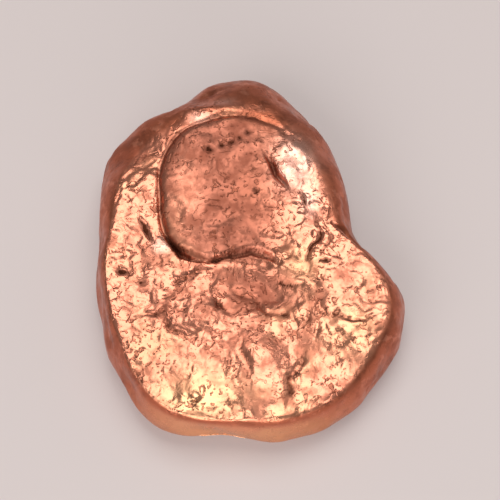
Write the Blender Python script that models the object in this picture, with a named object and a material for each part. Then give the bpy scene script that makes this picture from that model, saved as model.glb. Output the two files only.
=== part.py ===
"""A native copper nugget: one waterworn lump of metal with a flat plate folded over its upper end.

Lengths are in millimetres until the mesh is filled, which turns them into metres. Z is up, Y runs
from the broad end at the front to the narrow end at the back, and the nugget rests on a worn flat.
Places on the nugget are shares of its half width and half length, from -1 to 1.
"""

import math

import bmesh
import bpy
import numpy as np
from mathutils import Vector

MM = 0.001
NAME = "copper_nugget"

# Driving dimensions
WIDTH = 22.4
LENGTH = 28.0
FRONT_HEIGHT = 3.9
BACK_HEIGHT = 7.2
HALF = np.array([WIDTH, LENGTH]) / 2

# The outline seen from above, anticlockwise from the right
OUTLINE = (
    (0.71, 0.12),
    (0.66, 0.25),
    (0.59, 0.49),
    (0.52, 0.66),
    (0.41, 0.80),
    (0.27, 0.93),
    (0.14, 1.01),
    (0.00, 1.03),
    (-0.24, 0.98),
    (-0.42, 0.93),
    (-0.62, 0.83),
    (-0.78, 0.73),
    (-0.92, 0.62),
    (-0.96, 0.48),
    (-0.98, 0.28),
    (-1.00, 0.04),
    (-1.00, -0.15),
    (-0.97, -0.33),
    (-0.91, -0.53),
    (-0.81, -0.70),
    (-0.69, -0.84),
    (-0.53, -0.94),
    (-0.36, -1.00),
    (0.00, -1.00),
    (0.20, -0.99),
    (0.40, -0.96),
    (0.56, -0.90),
    (0.69, -0.81),
    (0.80, -0.69),
    (0.90, -0.57),
    (0.98, -0.45),
    (1.00, -0.35),
    (0.97, -0.24),
    (0.90, -0.13),
    (0.80, -0.01),
)
OUTLINE_WAVES = 8

# The side: its widest level as a share of the height
WAIST_SHARE = 0.36

# Width over which the face rounds off into the side: direction seen from above, width
UPPER_ROUND = (
    (-135, 0.7),
    (-95, 0.6),
    (-55, 1.1),
    (-20, 2.0),
    (20, 2.5),
    (55, 4.0),
    (90, 5.4),
    (130, 3.6),
    (175, 1.3),
)
UPPER_ROUND_WAVES = 3

# Width over which the side rounds off into the underside: the least, and its growth up to one side
LOWER_ROUND = 1.7
LOWER_ROUND_GROWTH = 2.9
LOWER_ROUNDER_SIDE = math.radians(60)

# The underside bellies below the ground level and is cut flat there
BELLY_DEPTH = 0.25
BELLY_RISE = 1.0

# The plate folded over the upper end: its centre, half sizes, the height of its edge, and the width
# of the groove along it. It stands proud at the left and sinks into the face at the right.
PLATE_CENTRE = (-0.095, 0.285)
PLATE_HALF = (5.25, 5.3)
PLATE_SQUARENESS = 2.5
PLATE_SQUARER_FRONT = 0.5
PLATE_STEP = 0.22
PLATE_LEAN = 0.85
PLATE_EDGE = 0.46
PLATE_GROOVE = 0.32
PLATE_DOME = 0.12

# Lumps and hollows of the upper face: centre, half sizes, height
FACE_LUMPS = (
    ((-0.585, -0.045), (1.20, 1.00), 0.17),
    ((-0.55, -0.05), (2.40, 2.00), -0.22),
    ((0.04, -0.24), (3.20, 1.80), -0.60),
    ((-0.31, -0.41), (1.30, 1.00), 0.32),
    ((0.08, -0.67), (1.90, 2.80), 0.40),
    ((0.24, -0.17), (1.40, 1.10), 0.27),
    ((0.27, 0.43), (1.60, 2.40), 0.12),
    ((-0.30, 0.73), (2.20, 0.50), 0.22),
    ((0.22, 0.85), (3.40, 2.40), -0.60),
    ((0.61, -0.48), (2.60, 3.20), 0.25),
    ((-0.60, -0.50), (2.60, 2.80), 0.22),
    ((-0.31, -0.89), (2.40, 2.00), 0.12),
    ((-0.36, -0.86), (0.60, 0.40), -0.35),
    ((-0.78, 0.53), (2.80, 2.40), -0.70),
)

# Creases and cracks of the upper face: points, half width, depth
FACE_CREASES = (
    (((-0.53, 0.03), (-0.485, -0.035), (-0.45, -0.075), (-0.39, -0.11), (-0.33, -0.125)), 0.36, 0.75),
    (((-0.27, -0.12), (-0.15, -0.09), (0.00, -0.065), (0.11, -0.09), (0.19, -0.135)), 0.34, 0.65),
    (((0.09, 0.47), (0.15, 0.37), (0.23, 0.28)), 0.32, 0.60),
    (((0.23, 0.28), (0.34, 0.20), (0.40, 0.12), (0.39, 0.00), (0.36, -0.13)), 0.40, 0.12),
    (((0.53, 0.10), (0.62, 0.05), (0.74, -0.03)), 0.42, 0.60),
    (((-0.72, 0.11), (-0.66, 0.04), (-0.61, -0.02)), 0.36, 0.35),
    (((0.30, -0.64), (0.26, -0.74), (0.24, -0.90)), 0.50, 0.20),
)

# Hollows and a fold of the underside
BELLY_LUMPS = (
    ((-0.45, 0.52), (2.30, 1.80), 0.55),
    ((0.42, -0.62), (2.60, 1.90), 0.50),
    ((-0.55, -0.50), (1.50, 2.30), 0.45),
    ((0.45, 0.30), (1.40, 1.90), 0.40),
)
BELLY_CREASES = (
    (((-0.80, 0.10), (-0.45, 0.22), (-0.10, 0.55), (0.20, 0.72)), 0.75, 0.55),
    (((0.85, -0.30), (0.55, -0.28), (0.30, -0.50)), 0.70, 0.45),
)

# Dents worn into the edge: direction seen from above, share of the height, half size, depth
EDGE_DENTS = (
    (-100, 0.25, 1.9, 0.25),
    (-38, 0.20, 2.6, 0.25),
    (3, 0.40, 1.6, 0.15),
    (62, 0.35, 2.6, 0.30),
    (118, 0.55, 1.8, 0.35),
    (152, 0.40, 1.9, 0.25),
    (-162, 0.35, 2.3, 0.30),
    (-130, 0.60, 1.5, 0.30),
)

# Uneven wear all over, as sums of waves: wavelength, number of waves, height, seed
WEAR = ((7.5, 14, 0.12, 3), (3.4, 24, 0.05, 8))

SPHERE_SUBDIVISIONS = 8
KEPT_TRIANGLES = 9600
COPPER_COLOUR = (0.62, 0.24, 0.14, 1.0)
COPPER_ROUGHNESS = 0.36


def clear_scene():
    for obj in list(bpy.data.objects):
        bpy.data.objects.remove(obj, do_unlink=True)


def series(angle, directions, values, waves):
    """A Fourier series fitted to values given in some directions, read at other angles."""

    def terms(at):
        turns = np.outer(at, np.arange(waves + 1))
        return np.hstack([np.cos(turns), np.sin(turns[:, 1:])])

    return terms(angle) @ np.linalg.lstsq(terms(directions), values, rcond=None)[0]


def outline_radius(angle):
    """Distance of the outline from the middle in each direction."""
    points = np.array(OUTLINE) * HALF
    directions = np.arctan2(points[:, 1], points[:, 0])
    return series(angle, directions, np.hypot(*points.T), OUTLINE_WAVES)


def upper_rounding(angle):
    """Width over which the face rounds off into the side in each direction."""
    degrees, widths = np.array(UPPER_ROUND).T
    return series(angle, np.radians(degrees), widths, UPPER_ROUND_WAVES)


def lower_rounding(angle):
    """Width over which the side rounds off into the underside in each direction."""
    return LOWER_ROUND + LOWER_ROUND_GROWTH * np.cos((angle - LOWER_ROUNDER_SIDE) / 2) ** 2


def quarter_round(share, radius, width, height):
    """A line out from the middle that ends in a quarter ellipse, at even steps along its length.

    Returns the distance from the middle and how much of the height is left, from 1 to 0.
    """
    flat = radius - width
    arc = math.pi / 2 * np.sqrt((width**2 + height**2) / 2)
    turn_at = flat / (flat + arc)
    turned = np.clip((share - turn_at) / (1 - turn_at), 0, 1) * math.pi / 2
    out = np.where(share < turn_at, flat * share / turn_at, flat + width * np.sin(turned))
    return out, np.cos(turned)


def face_height(y):
    """Level of the upper face, which slopes up from the front to the back."""
    return (FRONT_HEIGHT + BACK_HEIGHT) / 2 + (BACK_HEIGHT - FRONT_HEIGHT) * y / LENGTH


def smooth_form(directions):
    """The worn pebble shape, from unit vectors. Returns its points and each point's share of face."""
    angle = np.arctan2(directions[:, 1], directions[:, 0])
    way_down = np.arccos(np.clip(directions[:, 2], -1, 1)) / (math.pi / 2)
    radius = outline_radius(angle)
    rim_height = face_height(radius * np.sin(angle))
    above = way_down <= 1
    width = np.where(above, upper_rounding(angle), lower_rounding(angle))
    half_height = rim_height * np.where(above, 1 - WAIST_SHARE, WAIST_SHARE)
    out, left = quarter_round(np.where(above, way_down, 2 - way_down), radius, width, half_height)
    x = out * np.cos(angle)
    y = out * np.sin(angle)
    top = face_height(y)
    waist = WAIST_SHARE * top
    belly = BELLY_RISE * (out / radius) ** 2 - BELLY_DEPTH
    z = waist + left * (np.where(above, top, belly) - waist)
    return np.column_stack([x, y, z]), np.where(above, left, -left)


def lump(x, y, centre, half_sizes, height):
    """A rounded rise, or a hollow if its height is below 0: a Gaussian over an ellipse."""
    across = (x - centre[0] * HALF[0]) / half_sizes[0]
    along = (y - centre[1] * HALF[1]) / half_sizes[1]
    return height * np.exp(-(across**2) - along**2)


def crease(x, y, points, half_width, depth):
    """A groove along a line of points, shallower towards both ends."""
    corners = np.array(points) * HALF
    starts, steps = corners[:-1], np.diff(corners, axis=0)
    lengths = np.hypot(*steps.T)
    along_before = np.concatenate([[0], np.cumsum(lengths)[:-1]])
    nearest = np.full(len(x), np.inf)
    along = np.zeros(len(x))
    for start, step, length, before in zip(starts, steps, lengths, along_before):
        share = np.clip(((x - start[0]) * step[0] + (y - start[1]) * step[1]) / length**2, 0, 1)
        distance = np.hypot(x - start[0] - share * step[0], y - start[1] - share * step[1])
        closer = distance < nearest
        nearest = np.where(closer, distance, nearest)
        along = np.where(closer, before + share * length, along)
    swell = 0.35 + 0.65 * np.sin(math.pi * along / lengths.sum())
    return -depth * swell * np.exp(-((nearest / (half_width * swell)) ** 2))


def plate(x, y):
    """The folded plate: a domed oval, squarer at the front, that stands a step above the face.

    The step grows from nearly nothing at the plate's right side to its full height at the left.
    """
    across = (x - PLATE_CENTRE[0] * HALF[0]) / PLATE_HALF[0]
    along = (y - PLATE_CENTRE[1] * HALF[1]) / PLATE_HALF[1]
    power = PLATE_SQUARENESS - PLATE_SQUARER_FRONT * np.clip(along, -1, 1)
    reach = (np.abs(across) ** power + np.abs(along) ** power) ** (1 / power)
    outside = (reach - 1) * min(PLATE_HALF)
    step = 1 / (1 + np.exp(np.clip(outside / (PLATE_EDGE / 4), -30, 30)))
    groove = np.exp(-(((outside - PLATE_GROOVE) / PLATE_GROOVE) ** 2))
    edge_height = PLATE_STEP * (1 - PLATE_LEAN * np.clip(across, -1, 1))
    return step * (edge_height + PLATE_DOME * (1 - reach**2)) - 0.5 * edge_height * groove


def wear(points, wavelength, count, height, seed):
    """Gentle unevenness: plane waves of about one wavelength that cross in every direction."""
    rng = np.random.default_rng(seed)
    directions = rng.normal(size=(count, 3))
    directions /= np.linalg.norm(directions, axis=1, keepdims=True)
    numbers = 2 * math.pi / (wavelength * rng.uniform(0.75, 1.3, count))
    phases = rng.uniform(0, 2 * math.pi, count)
    waves = np.sin(points @ (directions * numbers[:, None]).T + phases)
    return height * waves.sum(axis=1) / math.sqrt(count / 2)


def edge_dents(points):
    """Hollows pressed into the side, each a Gaussian about a point on the outline."""
    pushed = np.zeros(len(points))
    for degrees, level, half_size, depth in EDGE_DENTS:
        angle = math.radians(degrees)
        radius = outline_radius(np.array([angle]))[0]
        x, y = radius * math.cos(angle), radius * math.sin(angle)
        centre = np.array([x, y, level * face_height(y)])
        pushed -= depth * np.exp(-((points - centre) ** 2).sum(axis=1) / half_size**2)
    return pushed


def relief(points, share):
    """Heights to add along the normal. The share is 1 on the face, 0 at the waist, -1 below."""
    x, y = points[:, 0], points[:, 1]
    on_face = np.clip(share, 0, 1) ** 0.5
    on_belly = np.clip(-share, 0, 1) ** 0.5
    face = plate(x, y)
    for centre, half_sizes, height in FACE_LUMPS:
        face = face + lump(x, y, centre, half_sizes, height)
    for line, half_width, depth in FACE_CREASES:
        face = face + crease(x, y, line, half_width, depth)
    belly = np.zeros(len(x))
    for centre, half_sizes, depth in BELLY_LUMPS:
        belly = belly - lump(x, y, centre, half_sizes, depth)
    for line, half_width, depth in BELLY_CREASES:
        belly = belly + crease(x, y, line, half_width, depth)
    uneven = sum(wear(points, *settings) for settings in WEAR)
    return face * on_face + belly * on_belly + uneven + edge_dents(points)


def shaped_sphere():
    """An icosphere whose points are moved to the nugget's form."""
    shape = bmesh.new()
    bmesh.ops.create_icosphere(shape, subdivisions=SPHERE_SUBDIVISIONS, radius=1)
    mesh = bpy.data.meshes.new(NAME + "_dense")
    shape.to_mesh(mesh)
    shape.free()
    numbers = np.empty(len(mesh.vertices) * 3, np.float32)
    mesh.vertices.foreach_get("co", numbers)
    directions = numbers.reshape(-1, 3).astype(float)
    directions /= np.linalg.norm(directions, axis=1, keepdims=True)
    points, share = smooth_form(directions)
    mesh.vertices.foreach_set("co", points.astype(np.float32).ravel())
    mesh.update()
    normals = np.empty(len(mesh.vertices) * 3, np.float32)
    mesh.vertex_normals.foreach_get("vector", normals)
    points += normals.reshape(-1, 3) * relief(points, share)[:, None]
    mesh.vertices.foreach_set("co", (points * MM).astype(np.float32).ravel())
    mesh.update()
    return mesh


def thinned(mesh):
    """The same form with triangles only where its relief needs them."""
    dense = bpy.data.objects.new(mesh.name, mesh)
    bpy.context.collection.objects.link(dense)
    decimate = dense.modifiers.new("thin", "DECIMATE")
    decimate.ratio = KEPT_TRIANGLES / len(mesh.polygons)
    graph = bpy.context.evaluated_depsgraph_get()
    kept = bpy.data.meshes.new_from_object(dense.evaluated_get(graph))
    bpy.data.objects.remove(dense, do_unlink=True)
    bpy.data.meshes.remove(mesh)
    return kept


def cut_flat_below(mesh):
    """Cuts the belly off at ground level, closes the cut, and centres the nugget over the origin."""
    shape = bmesh.new()
    shape.from_mesh(mesh)
    cut = bmesh.ops.bisect_plane(
        shape,
        geom=shape.verts[:] + shape.edges[:] + shape.faces[:],
        plane_co=(0, 0, 0),
        plane_no=(0, 0, 1),
        clear_inner=True,
    )
    rim = [edge for edge in cut["geom_cut"] if isinstance(edge, bmesh.types.BMEdge)]
    bmesh.ops.triangle_fill(shape, edges=rim, use_beauty=True, normal=(0, 0, -1))
    bmesh.ops.triangulate(shape, faces=[face for face in shape.faces if len(face.verts) > 3])
    bmesh.ops.recalc_face_normals(shape, faces=shape.faces)
    xs = [point.co.x for point in shape.verts]
    ys = [point.co.y for point in shape.verts]
    middle = Vector((min(xs) + max(xs), min(ys) + max(ys), 0)) / 2
    bmesh.ops.translate(shape, vec=-middle, verts=shape.verts)
    shape.to_mesh(mesh)
    shape.free()


def copper_material():
    material = bpy.data.materials.new("native_copper")
    material.use_nodes = True
    shader = material.node_tree.nodes["Principled BSDF"]
    shader.inputs["Base Color"].default_value = COPPER_COLOUR
    shader.inputs["Metallic"].default_value = 1.0
    shader.inputs["Roughness"].default_value = COPPER_ROUGHNESS
    return material


def main():
    clear_scene()
    collection = bpy.data.collections.new(NAME)
    bpy.context.scene.collection.children.link(collection)
    mesh = thinned(shaped_sphere())
    cut_flat_below(mesh)
    mesh.name = NAME
    mesh.materials.append(copper_material())
    mesh.shade_smooth()
    collection.objects.link(bpy.data.objects.new(NAME, mesh))


main()
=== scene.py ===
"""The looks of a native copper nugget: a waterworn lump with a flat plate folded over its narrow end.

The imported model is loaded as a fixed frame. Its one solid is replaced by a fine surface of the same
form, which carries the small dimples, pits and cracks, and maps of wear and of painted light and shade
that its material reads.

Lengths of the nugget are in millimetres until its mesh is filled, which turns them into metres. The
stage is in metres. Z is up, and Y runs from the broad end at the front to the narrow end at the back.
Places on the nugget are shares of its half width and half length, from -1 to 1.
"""

import logging
import math
from dataclasses import dataclass
from enum import Enum, IntEnum

import bpy
import numpy as np
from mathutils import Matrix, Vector
from numpy.typing import NDArray

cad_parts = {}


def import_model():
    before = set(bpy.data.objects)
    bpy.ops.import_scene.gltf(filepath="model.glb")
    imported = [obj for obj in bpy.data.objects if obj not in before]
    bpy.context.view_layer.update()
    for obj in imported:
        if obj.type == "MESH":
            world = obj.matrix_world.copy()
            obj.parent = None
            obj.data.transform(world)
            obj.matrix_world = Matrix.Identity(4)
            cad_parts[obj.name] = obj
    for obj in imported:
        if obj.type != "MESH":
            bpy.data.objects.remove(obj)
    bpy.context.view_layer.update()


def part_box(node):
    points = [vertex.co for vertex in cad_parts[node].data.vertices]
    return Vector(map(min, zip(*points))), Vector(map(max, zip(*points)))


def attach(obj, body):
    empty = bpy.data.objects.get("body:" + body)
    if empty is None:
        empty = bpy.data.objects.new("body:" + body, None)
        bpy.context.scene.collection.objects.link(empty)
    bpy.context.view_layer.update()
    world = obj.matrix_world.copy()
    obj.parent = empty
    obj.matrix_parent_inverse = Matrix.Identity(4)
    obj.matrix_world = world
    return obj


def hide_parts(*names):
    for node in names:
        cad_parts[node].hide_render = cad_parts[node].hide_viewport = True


Floats = NDArray[np.float64]
Quads = NDArray[np.int32]
Place = tuple[float, float]
Pair = tuple[float, float]
Triple = tuple[float, float, float]
Colour = tuple[float, float, float]
Socket = bpy.types.NodeSocket

MM = 0.001
NODE = "copper_nugget"
LOG = logging.getLogger(NODE)

# Odd numbers and shifts that mix the cells of a lattice into random numbers.
HASH_FACTORS = (0x9E3779B1, 0x85EBCA77, 0xC2B2AE3D)
HASH_SHIFTS = (15, 12, 17)
HASH_MIXER = 0x2C1B3C6D
HASH_MASK = 0xFFFFFFFF
SEED_STRIDE = 7919
CHANNEL_STRIDE = 104729
# Exponent at which a logistic step is held.
STEEPEST = 30.0


class WearMap(Enum):
    """The maps that the surface stores at its points, from 0 to 1, and the material reads: wear, and some
    painted light and shade.
    """

    OXIDE = "oxide"
    # Rubbed bare metal, partly a painted highlight: the lighter bare colour also marks bright spots that
    # catch the light.
    BARE_AND_HIGHLIGHT = "clean"
    # Thin yellow film, partly painted highlight on bright spots of the face, and painted reflection of the
    # lit floor on the front side.
    GOLD_AND_HIGHLIGHT = "gold"
    DULL = "dull"
    BROWN = "brown"
    # Darker film on the rim and the side, partly painted shade where they turn away from the light and at
    # the back.
    RIM_FILM_AND_SHADE = "rim"
    ROUGH = "rough"
    FINE = "fine"


class Seed(IntEnum):
    """Seeds of the random patterns."""

    BROAD_WAVES = 3
    DIMPLES = 5
    SHORT_WAVES = 8
    KNOBS = 9
    SIDE_PITS = 13
    WARP = 20
    GRAIN = 33
    CREASES = 40
    PLATE_EDGE = 57
    STREAKS = 71
    FACETS = 81
    KNOCKS = 91


def smooth_step(low: float, high: float, value: Floats) -> Floats:
    """A soft switch from 0 at low to 1 at high: 3t² - 2t³ of the way between them.

    Args:
        low: Value at which the switch starts.
        high: Value at which it is complete.
        value: The values to switch on.

    Returns:
        Numbers from 0 to 1.
    """
    share = np.clip((value - low) / (high - low), 0, 1)
    return share * share * (3 - 2 * share)


def faded(share: Floats) -> Floats:
    """How much relief is left beside the face or the belly: the square root of their share."""
    return np.sqrt(np.clip(share, 0, 1))


def hashed(cells: NDArray[np.int64], seed: int, channel: int) -> Floats:
    """A repeatable random number from 0 to 1 for each cell of a lattice.

    The three cell numbers are multiplied by odd constants, added, and their bits mixed by shifts.

    Args:
        cells: Whole-number cell coordinates, one row per point.
        seed: Chooses the lattice.
        channel: Chooses one of several numbers of the same cell.

    Returns:
        One number per row.
    """
    odd = np.array(HASH_FACTORS, np.uint64)
    offset = np.uint64(seed * SEED_STRIDE + channel * CHANNEL_STRIDE + 1)
    mixed = (cells.astype(np.uint64) * odd).sum(axis=1, dtype=np.uint64) + offset
    for shift in HASH_SHIFTS:
        mixed = (mixed ^ (mixed >> np.uint64(shift))) * np.uint64(HASH_MIXER) & np.uint64(HASH_MASK)
    return mixed.astype(float) / HASH_MASK


def soft_noise(points: Floats, size: float, seed: int) -> Floats:
    """Rounded random unevenness: lattice numbers blended smoothly between the corners of each cell.

    Args:
        points: Places, one row each, in millimetres.
        size: Edge of a lattice cell in millimetres.
        seed: Chooses the lattice.

    Returns:
        Numbers from -1 to 1.
    """
    scaled = points / size
    home = np.floor(scaled)
    part = scaled - home
    part = part * part * (3 - 2 * part)
    home = home.astype(np.int64)
    total = np.zeros(len(points))
    for corner in np.ndindex(2, 2, 2):
        share = np.where(np.array(corner) == 1, part, 1 - part).prod(axis=1)
        total += share * hashed(home + np.array(corner), seed, 0)
    return 2 * total - 1


def scattered(points: Floats, size: float, seed: int) -> tuple[Floats, Floats, Floats]:
    """Distances to the two nearest of many scattered centres, one centre in each lattice cell.

    Channels 0 to 2 of a cell place its centre, and channel 3 is the centre's own number.

    Args:
        points: Places, one row each, in millimetres.
        size: Edge of a lattice cell in millimetres.
        seed: Chooses the lattice.

    Returns:
        The nearest and the second nearest distance in cell sizes, and a number of the nearest centre.
    """
    scaled = points / size
    home = np.floor(scaled).astype(np.int64)
    nearest = np.full(len(points), np.inf)
    second = np.full(len(points), np.inf)
    number = np.zeros(len(points))
    for step in np.ndindex(3, 3, 3):
        cell = home + np.array(step) - 1
        centre = cell + np.column_stack([hashed(cell, seed, channel) for channel in range(3)])
        distance = np.linalg.norm(scaled - centre, axis=1)
        closer = distance < nearest
        second = np.where(closer, nearest, np.minimum(second, distance))
        number = np.where(closer, hashed(cell, seed, 3), number)
        nearest = np.where(closer, distance, nearest)
    return nearest, second, number


def series(angle: Floats, directions: Floats, values: Floats, waves: int) -> Floats:
    """A Fourier series fitted by least squares to values given in some directions.

    Args:
        angle: Directions to read it in, in radians.
        directions: Directions of the given values, in radians.
        values: The given values.
        waves: Number of waves round the full circle.

    Returns:
        One value per angle: a constant plus the cosines and sines of 1, 2, ... times the angle.
    """

    def terms(at: Floats) -> Floats:
        """One row per direction: 1, then the cosines and the sines of its multiples."""
        turns = np.outer(at, np.arange(waves + 1))
        return np.hstack([np.cos(turns), np.sin(turns[:, 1:])])

    return terms(angle) @ np.linalg.lstsq(terms(directions), values, rcond=None)[0]


@dataclass(frozen=True)
class SewnDiscs:
    """Two square grids bent to discs and sewn along their rims, the upper half over the lower.

    Attributes:
        cells: Number of cells along each side of a grid.
    """

    cells: int

    def parameters(self) -> tuple[Floats, Floats]:
        """The two surface parameters of every point.

        A square's point (s, t) keeps its reach, the larger of |s| and |t|, as its distance from the
        disc's middle, and its place along that square ring becomes an angle in even steps.

        Returns:
            Way down, from 0 at the top over 1 at the rim to 2 at the bottom, and the angle.
        """
        steps = np.linspace(-1, 1, self.cells + 1)
        across, along = np.meshgrid(steps, steps)
        wide = np.abs(across) >= np.abs(along)
        lead = np.where(wide, across, along)
        other = np.where(wide, along, across)
        ratio = np.divide(other, lead, out=np.zeros_like(lead), where=lead != 0)
        turned = np.where(wide, ratio, 2 - ratio) * math.pi / 4
        angle = turned + np.where(lead < 0, math.pi, 0)
        reach = np.abs(lead)
        inner = (slice(1, -1), slice(1, -1))
        way_down = np.concatenate([reach.ravel(), 2 - reach[inner].ravel()])
        return way_down, np.concatenate([angle.ravel(), angle[inner].ravel()])

    def quads(self) -> Quads:
        """Point numbers of the four-sided cells.

        Returns:
            Four numbers per cell, in an order that makes the faces point outwards.
        """
        side = self.cells + 1
        upper = np.arange(side * side, dtype=np.int32).reshape(side, side)
        lower = upper.copy()
        inner_side = side - 2
        inner = np.arange(inner_side * inner_side, dtype=np.int32).reshape(inner_side, inner_side)
        lower[1:-1, 1:-1] = inner + side * side
        corners = (
            (upper[:-1, :-1], upper[:-1, 1:], upper[1:, 1:], upper[1:, :-1]),
            (lower[:-1, :-1], lower[1:, :-1], lower[1:, 1:], lower[:-1, 1:]),
        )
        return np.vstack([np.stack(four, axis=-1).reshape(-1, 4) for four in corners])


def point_normals(points: Floats, quads: Quads) -> Floats:
    """Unit normals at the points: the cross products of each cell's diagonals, added at its corners.

    Args:
        points: Places, one row each.
        quads: Point numbers of the four-sided cells.

    Returns:
        One unit vector per point.
    """
    first = points[quads[:, 2]] - points[quads[:, 0]]
    second = points[quads[:, 3]] - points[quads[:, 1]]
    facing = np.repeat(np.cross(first, second), 4, axis=0)
    corners = quads.ravel()
    summed = [np.bincount(corners, weights=facing[:, axis], minlength=len(points)) for axis in range(3)]
    normals = np.column_stack(summed)
    return normals / np.linalg.norm(normals, axis=1, keepdims=True)


@dataclass(frozen=True)
class Lump:
    """A rounded rise or hollow of the surface, or a soft patch of wear.

    Attributes:
        centre: Place on the nugget, in shares of its half sizes.
        half_sizes: Half widths across and along, in millimetres.
        amount: Height at the centre in millimetres, below 0 for a hollow, or strength of the patch.
    """

    centre: Place
    half_sizes: Pair
    amount: float = 1.0

    def share(self, plan: Floats, half: Floats) -> Floats:
        """How much of the lump is at each place: a Gaussian over an ellipse, 1 at the centre."""
        offset = (plan - np.array(self.centre) * half) / np.array(self.half_sizes)
        return np.exp(-(offset**2).sum(axis=1))


@dataclass(frozen=True)
class Crease:
    """A groove along a line, shallower and narrower towards both ends.

    Attributes:
        points: The line's corners, in shares of the nugget's half sizes.
        half_width: Half width in millimetres.
        amount: Greatest depth in millimetres.
        wander: How far the line strays to either side, in millimetres.
        wander_size: Length of its bends in millimetres.
        wander_shift: Distance between the two noises that bend it.
        end: Width and depth at the ends, as a share of those mid-way.
    """

    points: tuple[Place, ...]
    half_width: float
    amount: float
    wander: float = 0.0
    wander_size: float = 1.1
    wander_shift: float = 31.7
    end: float = 0.35

    def share(self, plan: Floats, half: Floats) -> Floats:
        """How deep each place is: a Gaussian of its distance from the line, swelling mid-way.

        Args:
            plan: Places seen from above, in millimetres.
            half: The nugget's half sizes.

        Returns:
            Numbers from 0 away from the groove to 1 at its deepest.
        """
        strayed = plan
        if self.wander:
            solid = np.column_stack([plan, np.zeros(len(plan))])
            shifts = [
                soft_noise(solid + self.wander_shift * k, self.wander_size, Seed.CREASES + k)
                for k in (1, 2)
            ]
            strayed = plan + self.wander * np.column_stack(shifts)
        corners = np.array(self.points) * half
        steps = np.diff(corners, axis=0)
        lengths = np.hypot(*steps.T)
        before = np.concatenate([[0], np.cumsum(lengths)[:-1]])
        nearest = np.full(len(plan), np.inf)
        along = np.zeros(len(plan))
        for start, step, length, passed in zip(corners[:-1], steps, lengths, before):
            reached = np.clip((strayed - start) @ step / length**2, 0, 1)
            distance = np.linalg.norm(strayed - start - reached[:, None] * step, axis=1)
            closer = distance < nearest
            nearest = np.where(closer, distance, nearest)
            along = np.where(closer, passed + reached * length, along)
        swell = self.end + (1 - self.end) * np.sin(math.pi * along / lengths.sum())
        return swell * np.exp(-((nearest / (self.half_width * swell)) ** 2))


def shares(forms: tuple[Lump | Crease, ...], plan: Floats, half: Floats) -> Floats:
    """Several lumps or creases added up at each place, each as its share there."""
    return sum(form.share(plan, half) for form in forms)


def amounts(forms: tuple[Lump | Crease, ...], plan: Floats, half: Floats) -> Floats:
    """Several lumps or creases added up at each place, each as its amount times its share there."""
    return sum(form.amount * form.share(plan, half) for form in forms)


@dataclass(frozen=True)
class Plate:
    """The plate folded over the narrow end: a domed oval, proud at the left and sunk at the right.

    Attributes:
        centre: Its middle, in shares of the nugget's half sizes.
        half_sizes: Half width and half length, in millimetres.
        squareness: Power of the oval's equation: 2 is an ellipse, and more is squarer.
        squarer_front: How much the power grows from the middle to the front.
        step: Height of its edge above the face, in millimetres.
        lean: How much higher the edge is at the left than in the middle, as a share of the step.
        edge: Width over which the edge drops, in millimetres.
        groove: Half width of the groove along the edge, and its distance from it, in millimetres.
        groove_depth: Depth of that groove, as a share of the edge's height.
        dome: How much the middle rises above the edge, in millimetres.
        overhang: How far the edge leans out over the crease round it, in millimetres.
        wander: How far the edge strays from its oval, as a share of the way to it.
        wander_size: Length of its bends in millimetres.
    """

    centre: Place = (-0.095, 0.285)
    half_sizes: Pair = (5.25, 5.3)
    squareness: float = 2.5
    squarer_front: float = 0.5
    step: float = 0.22
    lean: float = 0.85
    edge: float = 0.38
    groove: float = 0.24
    groove_depth: float = 0.5
    dome: float = 0.12
    overhang: float = 0.12
    wander: float = 0.035
    wander_size: float = 1.7

    def offsets(self, plan: Floats, half: Floats) -> Floats:
        """Places from the plate's centre, in its half sizes."""
        return (plan - np.array(self.centre) * half) / np.array(self.half_sizes)

    def reach(self, plan: Floats, half: Floats) -> Floats:
        """Distance from the centre as a share of the way to the edge.

        The edge is a superellipse, (|x|^p + |y|^p)^(1/p) = 1, whose power p is larger at the front. It
        strays a little to either side.

        Args:
            plan: Places seen from above, in millimetres.
            half: The nugget's half sizes.

        Returns:
            One number per place, 1 at the edge.
        """
        away = self.offsets(plan, half)
        power = self.squareness - self.squarer_front * np.clip(away[:, 1], -1, 1)
        powers = (np.abs(away) ** power[:, None]).sum(axis=1)
        level = np.column_stack([plan, np.zeros(len(plan))])
        strayed = soft_noise(level, self.wander_size, Seed.PLATE_EDGE)
        return powers ** (1 / power) + self.wander * strayed

    def outside(self, plan: Floats, half: Floats) -> Floats:
        """Distance beyond the oval edge in millimetres, below 0 on the plate."""
        return (self.reach(plan, half) - 1) * min(self.half_sizes)

    def edge_height(self, plan: Floats, half: Floats) -> Floats:
        """Height of the edge nearest each place: it falls in a straight line from left to right."""
        across = self.offsets(plan, half)[:, 0]
        return self.step * (1 - self.lean * np.clip(across, -1, 1))

    def height(self, plan: Floats, half: Floats) -> Floats:
        """The plate's rise: a logistic step at the oval, a dome inside it, and a groove outside.

        Args:
            plan: Places seen from above, in millimetres.
            half: The nugget's half sizes.

        Returns:
            Heights in millimetres.
        """
        outside = self.outside(plan, half)
        steepness = np.clip(outside / (self.edge / 4), -STEEPEST, STEEPEST)
        on_plate = 1 / (1 + np.exp(steepness))
        groove = np.exp(-(((outside - self.groove) / self.groove) ** 2))
        edge_height = self.edge_height(plan, half)
        rise = edge_height + self.dome * (1 - self.reach(plan, half) ** 2)
        return on_plate * rise - self.groove_depth * edge_height * groove

    def lean_out(self, plan: Floats, half: Floats) -> Floats:
        """Sideways shift that bends the edge out over its crease, as a Gaussian about the edge.

        Args:
            plan: Places seen from above, in millimetres.
            half: The nugget's half sizes.

        Returns:
            Shifts across and along, in millimetres.
        """
        away = self.offsets(plan, half)
        away /= np.maximum(np.linalg.norm(away, axis=1, keepdims=True), 1e-6)
        near = np.exp(-((self.outside(plan, half) / self.edge) ** 2))
        pushed = self.overhang * near * self.edge_height(plan, half) / self.step
        return away * pushed[:, None]


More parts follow.
